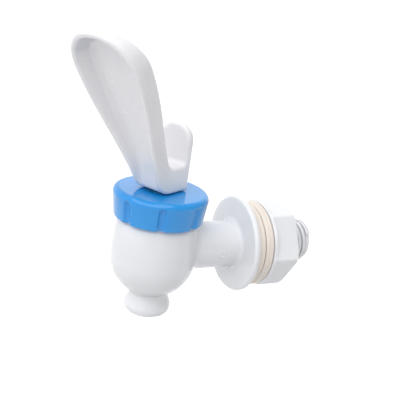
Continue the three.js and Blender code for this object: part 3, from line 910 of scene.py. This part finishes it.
@dataclass
class TapBody:
    """The bulb with its chamber and spout, the inlet pipe, the flange and the threaded shank."""

    places: Places
    bulb_radius: float = 14.6
    bulb_z: float = -2.7
    shoulder_z: float = 11.15
    shoulder_round: float = 1.7
    shoulder_inset: float = 1.2
    neck_radius: float = 12.9
    neck_top_z: float = 16.9
    chamber_radius: float = 10.8
    spout_tip_z: float = -23.7
    spout_neck_radius: float = 6.9
    spout_lip_radius: float = 8.1
    spout_rim_radius: float = 6.2
    spout_lip_height: float = 5.2
    spout_waist_z: float = -16.6
    outlet_radius: float = 4.2
    valve_seat_z: float = -9.48
    seat_ring_radius: float = 6.0
    pipe_radius: float = 8.4
    inlet_radius: float = 5.6
    flange_radius: float = 17.25
    flange_front_y: float = 30.2
    flange_rear_y: float = 32.4
    shank_root_radius: float = 7.05
    shank_crest_radius: float = 7.95
    shank_end_y: float = 60.3
    thread_pitch: float = 2.0
    thread_foot: float = 1.5
    thread_crest: float = 0.35
    gate_angle: float = math.radians(-2.5)
    gate_y: float = 22.35
    gate_ring: float = 1.05
    gate_ring_thickness: float = 0.24
    gate_nub: float = 0.42
    cell: float = 0.36

    def _spout(self, radius: Grid, z: Grid) -> Grid:
        """The spout's neck and its rounded lip."""
        fullest = self.spout_tip_z + 0.5 * self.spout_lip_height
        below = np.clip((fullest - z) / (fullest - self.spout_tip_z), 0, 1)
        above = np.clip((z - fullest) / (self.spout_waist_z - fullest), 0, 1)
        rim = self.spout_rim_radius + (self.spout_lip_radius - self.spout_rim_radius) * np.sqrt(
            np.maximum(1 - below**2, 0.0)
        )
        swell = (self.spout_lip_radius - self.spout_neck_radius) * (0.5 + 0.5 * np.cos(math.pi * above))
        side = radius - np.where(z < fullest, rim, self.spout_neck_radius + swell)
        return meet(side, within(z, self.spout_tip_z, self.bulb_z), 0.3)

    def _inlet(self, radius: Grid, y: Grid) -> Grid:
        """The pipe, the flange and the shank's core."""
        pipe = rod(radius, self.pipe_radius, y, 0.0, self.flange_front_y + 1.0, 0.0)
        flange = rod(radius, self.flange_radius, y, self.flange_front_y, self.flange_rear_y, 0.85)
        shank = rod(radius, self.shank_root_radius, y, self.flange_front_y, self.shank_end_y, 0.35)
        return join(join(pipe, flange, 1.7), shank, 0.3)

    def _hollow(self, upright: Grid, along: Grid, y: Grid, z: Grid) -> Grid:
        """The valve chamber with its seat ring, the outlet and the inlet bore."""
        low = np.minimum(z - self.bulb_z, 0)
        chamber = meet(np.hypot(upright, low) - self.chamber_radius, z - 40.0)
        ring = rod(upright, self.seat_ring_radius, z, self.bulb_z - self.bulb_radius, self.valve_seat_z, 0.5)
        chamber = cut(chamber, ring, 0.4)
        outlet = rod(upright, self.outlet_radius, z, self.spout_tip_z - 5, self.valve_seat_z + 4, 0.0)
        inlet = rod(along, self.inlet_radius, y, 0.0, self.shank_end_y + 5, 0.0)
        return join(join(chamber, outlet, 0.4), inlet, 0.4)

    def _gate_mark(self, x: Grid, y: Grid, z: Grid) -> Grid:
        """A small raised ring where the plastic was let into the mould."""
        c, s = math.cos(self.gate_angle), math.sin(self.gate_angle)
        out = x * c + z * s
        side = -x * s + z * c
        flat = np.hypot(side, y - self.gate_y)
        ring = np.hypot(flat - self.gate_ring, out - self.pipe_radius + 0.05) - self.gate_ring_thickness
        nub = np.sqrt(flat**2 + (out - self.pipe_radius + 0.15) ** 2) - self.gate_nub
        return np.minimum(ring, nub)

    def shape(self, x: Grid, y: Grid, z: Grid) -> Grid:
        """Distances of the whole body."""
        upright, along = np.hypot(x, y), np.hypot(x, z)
        drawn_in = self.shoulder_inset * np.clip(z / self.shoulder_z, 0, 1) ** 2
        bulb = np.hypot(upright + drawn_in, np.minimum(z - self.bulb_z, 0)) - self.bulb_radius
        bulb = meet(bulb, z - self.shoulder_z, self.shoulder_round)
        outside = join(bulb, self._spout(upright, z), 0.7)
        neck = rod(upright, self.neck_radius, z, self.bulb_z, self.neck_top_z, 0.4)
        outside = join(outside, neck, 0.3)
        outside = join(outside, self._inlet(along, y), 1.5)
        outside = join(outside, self._gate_mark(x, y, z), 0.25)
        return cut(outside, self._hollow(upright, along, y, z), 0.35)

    def build(self) -> None:
        """Makes the body and its thread."""
        low, high = node_box(self.places, "tap_body")
        skin = Skin("tap_body_shell", self.shape, low, high, self.cell)
        fit(skinned_piece(self.places, skin), WHITE, "tap", ["tap_body"])
        depth = self.shank_crest_radius - self.shank_root_radius
        start, end = self.flange_rear_y + 1.0, self.shank_end_y - 1.1
        thread = Coil(
            "shank_thread", radius=self.shank_root_radius + depth / 2 - 0.1, low=start, high=end,
            turns=(end - start) / self.thread_pitch, width=self.thread_foot, crest=self.thread_crest,
            height=depth + 0.2, along_inlet=True,
        )
        fit(thread.build(self.places, WHITE), WHITE, "tap")


# ---- The collar ----


@dataclass
class Collar:
    """The blue screw collar with grip grooves down its side."""

    places: Places
    bore_radius: float = 13.15
    hole_radius: float = 2.95
    ceiling_z: float = 18.7
    foot_taper: float = 0.85
    edge_round: float = 1.9
    foot_round: float = 0.35
    grooves: int = 8
    groove_radius: float = 1.5
    groove_depth: float = 0.95
    groove_top_inset: float = 2.3
    groove_edge: float = 0.05
    first_groove: float = math.radians(-19.5)
    sides: int = 512
    flat_weight: int = 60

    def _profile(self, radius: float, foot: float, top: float) -> list[tuple[float, float]]:
        """The collar's section, from the stem's hole round the outside and back up the bore."""
        foot_radius = radius - self.foot_taper
        edge = (radius - self.edge_round, top - self.edge_round)
        corner = (foot_radius - self.foot_round, foot + self.foot_round)
        rise = np.linspace(0.04, 0.96, 22)
        side = [
            (foot_radius + (radius - foot_radius) * t, corner[1] + (edge[1] - corner[1]) * t) for t in rise
        ]
        return [
            *arc((self.bore_radius + self.foot_round, foot + self.foot_round), self.foot_round, 180, 270, 4),
            *arc(corner, self.foot_round, -90, 0, 5),
            *side,
            *arc(edge, self.edge_round, 0, 90, 12),
            (radius * 0.62, top),
            *arc((self.hole_radius + 0.4, top - 0.4), 0.4, 90, 180, 4),
            *arc((self.hole_radius + 0.3, self.ceiling_z + 0.3), 0.3, 180, 270, 3),
            (self.bore_radius - 0.4, self.ceiling_z),
            (self.bore_radius, self.ceiling_z - 0.4),
        ]

    def _carve(self, piece: bpy.types.Object, radius: float, top: float) -> bpy.types.Object:
        """Presses the grip grooves into the side with a node tree."""
        builder = NodeBuilder(
            "grip_grooves",
            {
                "Count": self.grooves,
                "First Angle": self.first_groove,
                "Axis Y": self.places.axis_y * MM,
                "Outer Radius": radius * MM,
                "Groove Radius": self.groove_radius * MM,
                "Groove Depth": self.groove_depth * MM,
                "Groove Top": (top - self.groove_top_inset - self.groove_radius * 0.5) * MM,
                "Carved From": (self.bore_radius + 0.9) * MM,
            },
        )
        size = builder.size
        place = builder.node("GeometryNodeInputPosition").outputs[0]
        split = builder.node("ShaderNodeSeparateXYZ", {0: place})
        x, y, z = (builder.term(split.outputs[label]) for label in "XYZ")
        y = y - size("Axis Y")
        reach = (x * x + y * y).math("SQRT")
        angle = y.math("ARCTAN2", x) - size("First Angle")
        share = 2 * math.pi / size("Count")
        aside = (angle - (angle / share).math("ROUND") * share) * reach
        above = (z - size("Groove Top")).math("MAXIMUM", 0.0)
        round_radius = size("Groove Radius")
        left = round_radius * round_radius - (aside * aside + above * above)
        sink = left.math("MAXIMUM", 0.0).math("SQRT")
        rim = round_radius - size("Groove Depth")
        depth = (sink - rim).math("SMOOTH_MAX", 0.0, self.groove_edge * MM)
        outer = reach.math("GREATER_THAN", size("Carved From"))
        scale = depth * (outer * -1.0) / reach
        shift = builder.node("ShaderNodeCombineXYZ", {"X": x * scale, "Y": y * scale})
        moved = builder.node(
            "GeometryNodeSetPosition", {"Geometry": builder.given.outputs[0], "Offset": shift.outputs[0]}
        )
        builder.finish(moved.outputs[0], BLUE.material())
        return builder.run(piece)

    def build(self) -> None:
        """Makes the collar."""
        low, high = node_box(self.places, "collar")
        radius = float(high[0])
        ring = Turning("screw_collar", self._profile(radius, low[2], high[2]), sides=self.sides)
        piece = self._carve(ring.build(self.places), radius, float(high[2]))
        piece.modifiers.new("even_shading", "WEIGHTED_NORMAL").weight = self.flat_weight
        fit(piece, BLUE, "tap", ["collar"])


# ---- The valve: seat cup, spring and stem ----


@dataclass
class Valve:
    """The silicone seat cup, the return spring and the stem that lifts them."""

    places: Places
    cup_radius: float = 7.1
    cup_wall: float = 1.2
    cup_top_radius: float = 9.8
    cup_rim_radius: float = 12.7
    cup_rim_thickness: float = 1.3
    plug_radius: float = 6.4
    plug_thickness: float = 3.2
    split_z: float = 3.6
    flex_low_z: float = 4.2
    flex_high_z: float = 9.2
    socket_radius: float = 4.7
    socket_lip_radius: float = 2.9
    socket_height: float = 2.4
    lip_height: float = 1.1
    stem_radius: float = 2.6
    button_radius: float = 4.4
    button_thickness: float = 1.8
    seat_radius: float = 5.3
    seat_thickness: float = 1.5
    head_radius: float = 2.9
    pin_radius: float = 1.3
    pin_left: float = -5.8
    pin_right: float = 4.65
    pin_cell: float = 0.16
    eye_radius: float = 1.34
    cup_sides: int = 96
    wire_radius: float = 0.4
    wire_gap: float = 0.02
    spring_radius: float = 3.9
    spring_turns: float = 8.0
    spring_closed_pitch: float = 1.05
    spring_steps: int = 40
    cell: float = 0.2

    def _plug_end(self) -> Turning:
        """The seat cup's stiff end: a solid plug and the socket that holds the stem's button."""
        low, _ = node_box(self.places, "seat_cup")
        floor = low[2] + self.plug_thickness
        lip = floor + self.socket_height
        bore = self.cup_radius - self.cup_wall
        profile = [
            (0.05, low[2]),
            *arc((self.plug_radius - 0.6, low[2] + 0.6), 0.6, -90, 0, 5),
            (self.plug_radius, floor - 0.4),
            (self.cup_radius - 0.1, floor + self.lip_height - 0.2),
            (self.cup_radius, floor + self.lip_height + 0.3),
            (self.cup_radius, self.split_z),
            (bore, self.split_z),
            (bore, lip + self.lip_height + 0.3),
            (bore - 0.3, lip + self.lip_height),
            (self.socket_lip_radius + 0.3, lip + self.lip_height),
            (self.socket_lip_radius, lip + self.lip_height - 0.3),
            (self.socket_lip_radius, lip),
            (self.socket_radius, lip),
            (self.socket_radius, floor),
            (0.05, floor),
        ]
        return Turning("silicone_seat_plug", profile, self.cup_sides)

    def _sleeve(self) -> Turning:
        """The seat cup's soft end: a flexing cone and the rim that the collar clamps."""
        _, high = node_box(self.places, "seat_cup")
        bore = self.cup_radius - self.cup_wall
        top_bore = self.cup_top_radius - self.cup_wall
        rim_z = high[2] - self.cup_rim_thickness
        profile = [
            (bore, self.split_z),
            (self.cup_radius, self.split_z),
            (self.cup_radius + 0.15, self.flex_low_z + 0.2),
            (self.cup_top_radius - 0.15, self.flex_high_z - 0.3),
            (self.cup_top_radius, self.flex_high_z + 0.5),
            (self.cup_top_radius, rim_z - 0.2),
            (self.cup_top_radius + 0.2, rim_z),
            *arc((self.cup_rim_radius - 0.4, rim_z + 0.4), 0.4, -90, 0, 4),
            *arc((self.cup_rim_radius - 0.4, high[2] - 0.4), 0.4, 0, 90, 4),
            (top_bore + 0.3, high[2]),
            (top_bore, high[2] - 0.3),
            (top_bore, self.flex_high_z + 0.3),
            (top_bore - 0.15, self.flex_high_z - 0.3),
            (bore + 0.15, self.flex_low_z + 0.3),
        ]
        return Turning("silicone_seat_sleeve", profile, self.cup_sides)

    def _stem_shape(self, x: Grid, y: Grid, z: Grid) -> Grid:
        """Distances of the stem: button, shaft, spring seat and eyed head."""
        low, _ = node_box(self.places, "valve_stem")
        spring_low, _ = node_box(self.places, "return_spring")
        seat_top = spring_low[2] - 0.25
        upright = np.hypot(x, y)
        cross = np.hypot(y, z - self.places.pin_z)
        shaft = rod(upright, self.stem_radius, z, low[2] + 0.2, self.places.pin_z, 0.0)
        button = rod(upright, self.button_radius, z, low[2], low[2] + self.button_thickness, 0.35)
        seat = rod(upright, self.seat_radius, z, seat_top - self.seat_thickness, seat_top, 0.25)
        head = rod(cross, self.head_radius, x, -self.stem_radius, self.stem_radius, 0.3)
        solid = join(join(join(shaft, button, 0.4), seat, 0.3), head, 0.3)
        return cut(solid, rod(cross, self.eye_radius, x, -9.0, 9.0, 0.0), 0.15)

    def _pin_shape(self, x: Grid, y: Grid, z: Grid) -> Grid:
        """Distances of the pin, in the lever's frame."""
        cross = np.hypot(y, z - self.places.pin_z)
        return rod(cross, self.pin_radius, x, self.pin_left, self.pin_right, 0.25)

    def build(self) -> None:
        """Makes the valve's pieces."""
        lift = self.places.lift
        fit(self._plug_end().build(self.places), MILKY, "plug", ["seat_cup"])
        sleeve = fit(self._sleeve().build(self.places), MILKY, "plug")
        low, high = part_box("seat_cup")
        foot = (self.split_z) * MM
        1 - lift / (high.z - foot)
        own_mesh(sleeve)
        spring_low, spring_high = node_box(self.places, "return_spring")
        inset = self.wire_radius + self.wire_gap
        coil = Coil(
            "return_coil_spring", radius=self.spring_radius, low=spring_low[2] + inset,
            high=spring_high[2] - inset, turns=self.spring_turns,
            width=self.wire_radius, crest=0.0, height=0.0, closed_turns=1.0,
            closed_pitch=self.spring_closed_pitch, steps_per_turn=self.spring_steps,
        )
        spring = fit(coil.build(self.places, STEEL), STEEL, "tap", ["return_spring"])
        low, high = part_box("return_spring")
        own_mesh(spring)
        reach = self.seat_radius
        stem_low, stem_high = node_box(self.places, "valve_stem")
        stem = Skin(
            "valve_stem_moulding", self._stem_shape, (-reach, -reach, stem_low[2]),
            (reach, reach, stem_high[2]), self.cell,
        )
        fit(skinned_piece(self.places, stem, turned=True), WHITE, "stem", ["valve_stem"])
        pin = Skin(
            "lever_pivot_pin", self._pin_shape,
            (self.pin_left, -self.pin_radius, self.places.pin_z - self.pin_radius),
            (self.pin_right, self.pin_radius, self.places.pin_z + self.pin_radius), self.pin_cell,
        )
        fit(skinned_piece(self.places, pin, turned=True), WHITE, "stem", ["lever_pin"])


# ---- The lever ----


@dataclass
class Lever:
    """The lever: a foot on the collar, a tray-shaped paddle and a rear ear."""

    places: Places
    foot_z: float = 21.3
    base_half: float = 6.2
    cam_radius: float = 4.2
    press: float = math.radians(30.0)
    pin_height: float = 4.1
    foot_rear: float = 5.95
    saddle_height: float = 8.9
    ear_top_z: float = 43.4
    ear_thickness: float = 2.9
    ear_corner: float = 5.8
    lean: float = math.radians(34.0)
    length: float = 57.5
    tip_radius: float = 12.5
    tip_sweep: float = 28.0
    tip_round: float = 7.0
    flare: float = 16.0
    depth: float = 6.1
    web: float = 1.4
    rim: float = 1.75
    rim_round: float = 1.1
    tray_round: float = 0.9
    draft: float = 0.52
    recess_start: float = 5.5
    recess_start_depth: float = 2.6
    edge_round: float = 1.2
    slot_half: float = 2.9
    slot_front: float = -5.6
    slot_rear: float = 3.25
    slot_over_pin: float = 3.25
    pin_hole_radius: float = 1.42
    pin_hole_end: float = 4.9
    cell: float = 0.3
    edge_along: Grid = field(init=False, repr=False)
    edge_across: Grid = field(init=False, repr=False)

    def __post_init__(self) -> None:
        """Draws the paddle's edge as a smooth curve from the base's width to the tip's."""
        t = np.linspace(0, 1, 60)
        centre = self.length - self.tip_radius
        ends = np.array(
            [
                (self.base_half, 0.0),
                (self.base_half, self.flare),
                (self.tip_radius, centre - self.flare),
                (self.tip_radius, centre),
            ]
        )
        weights = np.stack([(1 - t) ** 3, 3 * (1 - t) ** 2 * t, 3 * (1 - t) * t**2, t**3], axis=1)
        curve = weights @ ends
        self.edge_across, self.edge_along = curve[:, 0], curve[:, 1]

    def _root(self) -> tuple[float, float]:
        """Where the paddle's front face starts, as (y, z)."""
        reach = self.pin_height + self.cam_radius * self.press
        c, s = math.cos(self.press), math.sin(self.press)
        return -self.cam_radius * c - reach * s, self.places.pin_z + self.cam_radius * s - reach * c

    def _outline(self, across: Grid, along: Grid) -> Grid:
        """Distances from the paddle's flared outline with its round tip."""
        centre = self.length - self.tip_radius
        half = np.interp(along, self.edge_along, self.edge_across)
        slope = np.gradient(self.edge_across, self.edge_along)
        tilt = 1 / np.hypot(1, np.interp(along, self.edge_along, slope))
        side = (np.abs(across) - half) * tilt
        tip = np.hypot(across, along - centre) - self.tip_radius
        return np.where(along > centre, tip, side)

    def _dome(self, across: Grid, along: Grid, depth: Grid, deep: float, inset: float) -> Grid:
        """Distances from the tip's rounding at the back.

        Args:
            across: each point's place across the paddle.
            along: its place along the paddle.
            depth: its depth behind the front.
            deep: the full depth before the rounding.
            inset: how far inside the outline the rounding lies.

        Returns:
            The distances.
        """
        centre = self.length - self.tip_sweep
        reach = np.hypot(across, np.maximum(along - centre, 0)) - (self.tip_sweep - self.tip_round)
        round_off = self.tip_round - inset
        ratio = np.hypot(np.maximum(reach, 0) / round_off, np.maximum(depth, 0) / deep)
        dome = np.where(reach > 0, (ratio - 1) * min(deep, round_off), depth - deep)
        return np.where(along > centre, dome, depth - deep)

    def _leaning(self, y: Grid, z: Grid) -> tuple[Grid, Grid]:
        """Gives how far along the paddle and how deep behind its front a point lies."""
        root_y, root_z = self._root()
        c, s = math.cos(self.lean), math.sin(self.lean)
        return -(y - root_y) * s + (z - root_z) * c, (y - root_y) * c + (z - root_z) * s

    def _recess(self, x: Grid, along: Grid, depth: Grid) -> Grid:
        """Distances of the tray's hollow, whose floor deepens towards the tip."""
        deepest = self.depth - self.web
        floor_end = self.length - self.tip_round
        turn, start = self.recess_start + 1, self.recess_start_depth
        main = start + (along - turn) * (deepest - start) / (floor_end - turn)
        foot = (along + 0.3) * start / (turn + 0.3)
        floor = np.minimum((main + foot - np.hypot(main - foot, 1.0)) / 2 + 0.02, deepest)
        ceiling = meet(depth - floor, self._dome(x, along, depth, deepest, self.rim), 0.4)
        walls = (self._outline(x, along) + self.rim + self.draft * depth) / math.hypot(1, self.draft)
        recess = meet(walls, ceiling, self.tray_round)
        return meet(recess, -depth - 3.0)

    def _side_view(self, y: Grid, z: Grid, along: Grid, back: Grid) -> Grid:
        """Distances of the lever's side view: foot, paddle and ear, with fillets between them."""
        root_y, root_z = self._root()
        rear = y - self.foot_rear
        block = meet(rear, z - self.foot_z - self.saddle_height, 0.9)
        slab = meet(back, -along - 1.0)
        ear = meet(rear, self.foot_rear - self.ear_thickness - y)
        solid = join(block, slab, 1.6)
        solid = meet(join(meet(solid, rear), ear, 1.6), rear, 0.0)
        heel = root_z - z + (y - root_y) * (self.foot_z - root_z) / (-self.cam_radius - root_y)
        return meet(meet(solid, self.foot_z - z, 0.35), heel * 0.93, 0.6)

    def shape(self, x: Grid, y: Grid, z: Grid) -> Grid:
        """Distances of the whole lever, in its own frame."""
        along, depth = self._leaning(y, z)
        aside = np.maximum(np.abs(x) - (self.base_half - self.ear_corner), 0)
        above = np.maximum(z - self.ear_top_z + self.ear_corner, 0)
        share = np.clip((depth - self.depth) / 3.0, 0, 1)
        sides = (1 - share) * self._outline(x, along) + share * (np.hypot(aside, above) - self.ear_corner)
        back = self._dome(x, along, depth, self.depth, 0.0)
        solid = meet(self._side_view(y, z, along, back), sides, self.edge_round)
        solid = meet(solid, -depth, self.rim_round)
        solid = cut(solid, self._recess(x, along, depth), 0.5)
        top = self.places.pin_z + self.slot_over_pin
        slot = meet(np.abs(x) - self.slot_half, within(y, self.slot_front, self.slot_rear))
        solid = cut(solid, meet(slot, within(z, self.foot_z - 4, top)), 0.25)
        cross = np.hypot(y, z - self.places.pin_z)
        return cut(solid, rod(cross, self.pin_hole_radius, x, -20.0, self.pin_hole_end, 0.0), 0.15)

    def build(self) -> None:
        """Makes the lever."""
        root_y, _ = self._root()
        high_z = float(node_box(self.places, "lever")[1][2])
        front = root_y - self.length * math.sin(self.lean)
        skin = Skin(
            "push_lever", self.shape, (-self.tip_radius, front, self.foot_z),
            (self.tip_radius, self.foot_rear, high_z), self.cell,
        )
        fit(skinned_piece(self.places, skin, turned=True), LEVER_WHITE, "lever", ["lever"])


# ---- Washers and lock nut ----


@dataclass
class WallFixings:
    """The two silicone washers and the lock nut that clamp the tap to a wall."""

    places: Places
    washer_bore: float = 8.3
    washer_round: float = 0.75
    washer_groove_half: float = 0.28
    washer_groove_depth: float = 0.16
    washer_sides: int = 160
    nut_bore: float = 8.2
    nut_corner: float = 16.1
    nut_ring: float = 15.5
    nut_ring_thickness: float = 1.5
    nut_turn: float = math.radians(-2.0)
    nut_chamfer: float = 1.2
    nut_chamfer_slope: float = 0.9
    cell: float = 0.27

    def _washer(self, node: str, name: str, body: str) -> None:
        """Makes one washer."""
        low, high = node_box(self.places, node)
        radius, near, far, r = float(high[0]), float(low[1]), float(high[1]), self.washer_round
        middle = (near + far) / 2
        profile = [
            *arc((self.washer_bore + 0.3, near + 0.3), 0.3, 180, 270, 3),
            *arc((radius - r, near + r), r, -90, 0, 7),
            (radius, middle - self.washer_groove_half),
            (radius - self.washer_groove_depth, middle),
            (radius, middle + self.washer_groove_half),
            *arc((radius - r, far - r), r, 0, 90, 7),
            *arc((self.washer_bore + 0.3, far - 0.3), 0.3, 90, 180, 3),
        ]
        fit(Turning(name, profile, self.washer_sides, Axis.INLET).build(self.places), CREAM, body, [node])

    def _nut_shape(self, x: Grid, y: Grid, z: Grid) -> Grid:
        """Distances of the nut: a thin round collar and a hexagon with chamfered corners."""
        low, high = node_box(self.places, "lock_nut")
        near, far = float(low[1]), float(high[1])
        along = np.hypot(x, z)
        flat = self.nut_corner * math.cos(math.pi / 6)
        sides = None
        for k in range(3):
            angle = self.nut_turn + math.radians(30 + 60 * k)
            side = np.abs(x * math.cos(angle) + z * math.sin(angle)) - flat
            sides = side if sides is None else meet(sides, side, 0.5)
        hexagon = meet(sides, within(y, near + 0.3, far), 0.4)
        slope = self.nut_chamfer_slope
        cone = (along - self.nut_corner + (y - far + self.nut_chamfer) * slope) / math.hypot(1, slope)
        hexagon = meet(hexagon, cone, 0.3)
        hexagon = meet(hexagon, along - self.nut_corner + 0.05, 0.2)
        ring = rod(along, self.nut_ring, y, near, near + self.nut_ring_thickness, 0.35)
        bore = rod(along, self.nut_bore, y, near - 4, far + 4, 0.0)
        return cut(join(hexagon, ring, 0.3), bore, 0.5)

    def build(self) -> None:
        """Makes the washers and the nut."""
        self._washer("front_washer", "front_silicone_washer", "tap")
        self._washer("rear_washer", "rear_silicone_washer", "nut_washer")
        low, high = node_box(self.places, "lock_nut")
        skin = Skin("hex_lock_nut", self._nut_shape, low, high, self.cell)
        fit(skinned_piece(self.places, skin), WHITE, "nut", ["lock_nut"])


# ---- Studio ----


@dataclass
class Studio:
    """A pale floor, a soft sky, a wide key light from the upper left and the camera."""

    floor_z: float = -0.30
    floor_half: float = 6.0
    paper: Colour = (0.93, 0.925, 0.92)
    paper_light: Colour = (0.945, 0.94, 0.935)
    sky: float = 0.86
    sky_slope: float = 0.28
    sky_dim_side: tuple[float, float, float] = (0.36, 0.93, 0.1)
    sky_tint: Colour = (0.965, 0.98, 1.0)
    backdrop: float = 1.05
    key: float = 1.75
    key_width: float = math.radians(75.0)
    key_from: tuple[float, float, float] = (0.3, -0.42, 0.86)
    rear_place: tuple[float, float, float] = (-0.72, 0.58, 0.40)
    rear_size: float = 0.8
    rear_watts: float = 0.75
    lens: float = 53.05
    sensor_width: float = 36.0
    camera_place: tuple[float, float, float] = (0.176059, -0.116373, 0.083005)
    camera_right: tuple[float, float, float] = (0.439141, 0.885734, 0.150437)
    camera_up: tuple[float, float, float] = (-0.356829, 0.018280, 0.933991)
    camera_back: tuple[float, float, float] = (0.824517, -0.463834, 0.324083)

    def _floor(self) -> None:
        """Lays the floor."""
        half = self.floor_half
        corners = [(-half, -half), (half, -half), (half, half), (-half, half)]
        mesh = bpy.data.meshes.new("studio_floor")
        mesh.from_pydata([(x, y, self.floor_z) for x, y in corners], [], [(0, 1, 2, 3)])
        floor = placed("studio_floor", mesh)
        material = bpy.data.materials.new("pale_paper")
        material.use_nodes = True
        tree = material.node_tree
        place = tree.nodes.new("ShaderNodeTexCoord").outputs["Object"]
        tone = add_mix(tree, add_noise(tree, place, 30.0, 4.0), self.paper, self.paper_light)
        paper = {"Base Color": tone, "Roughness": 0.95, "Specular IOR Level": 0.1}
        feed_all(tree, tree.nodes["Principled BSDF"], paper)
        mesh.materials.append(material)
        floor.visible_diffuse = False

    @staticmethod
    def _lamp(name: str, kind: str, toward: Vector, **settings: object) -> bpy.types.Object:
        """Makes a light that shines from one direction on the origin.

        Args:
            name: the light's name.
            kind: its type.
            toward: the direction from the origin to the light.
            settings: properties of the light.

        Returns:
            The light's object.
        """
        light = bpy.data.lights.new(name, kind)
        for label, value in settings.items():
            setattr(light, label, value)
        lamp = placed(name, light)
        lamp.rotation_mode = "QUATERNION"
        lamp.rotation_quaternion = (-toward).to_track_quat("-Z", "Y")
        return lamp

    def _lamps(self) -> None:
        """Hangs the wide key light, and a soft panel behind that shines on the tops."""
        self._lamp("key_light", "SUN", Vector(self.key_from), energy=self.key, angle=self.key_width)
        place = Vector(self.rear_place)
        panel = self._lamp(
            "rear_panel", "AREA", place, shape="SQUARE", size=self.rear_size, energy=self.rear_watts
        )
        panel.location = place
        panel.visible_camera = False

    def _sky(self) -> None:
        """Makes the sky: soft light on the tap, and plain white behind it."""
        world = bpy.data.worlds.new("soft_sky")
        world.use_nodes = True
        tree = world.node_tree
        background = tree.nodes["Background"]
        side = tree.nodes.new("ShaderNodeVectorMath")
        side.operation = "DOT_PRODUCT"
        direction = tree.nodes.new("ShaderNodeTexCoord").outputs["Generated"]
        feed_all(tree, side, {0: direction, 1: self.sky_dim_side})
        bright, dim = self.sky + self.sky_slope, self.sky - self.sky_slope
        soft = add_range(tree, side.outputs["Value"], (-1.0, 1.0, bright, dim))
        seen = tree.nodes.new("ShaderNodeLightPath").outputs["Is Camera Ray"]
        strength = add_range(tree, seen, (0.0, 1.0, soft, self.backdrop))
        feed_all(tree, background, {"Color": self.sky_tint, "Strength": strength})
        bpy.context.scene.world = world

    def _camera(self) -> None:
        """Sets the camera up, rolled as the view is."""
        data = bpy.data.cameras.new("camera")
        data.lens = self.lens
        data.sensor_width = self.sensor_width
        data.clip_start = 0.01
        camera = placed("camera", data)
        turn = Matrix((self.camera_right, self.camera_up, self.camera_back)).transposed().to_4x4()
        camera.matrix_world = Matrix.Translation(self.camera_place) @ turn
        bpy.context.scene.camera = camera

    def build(self) -> None:
        """Builds the studio."""
        scene = bpy.context.scene
        scene.view_settings.view_transform = "Standard"
        self._sky()
        self._floor()
        self._lamps()
        self._camera()


def main() -> None:
    """Builds the studio and every piece of the tap."""
    logging.basicConfig(level=logging.INFO, format="%(name)s %(message)s")
    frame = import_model()
    places = Places.read(frame)
    Studio().build()
    for part in (TapBody(places), Collar(places), Valve(places), Lever(places), WallFixings(places)):
        part.build()
    bpy.context.view_layer.update()


if __name__ == "__main__":
    main()
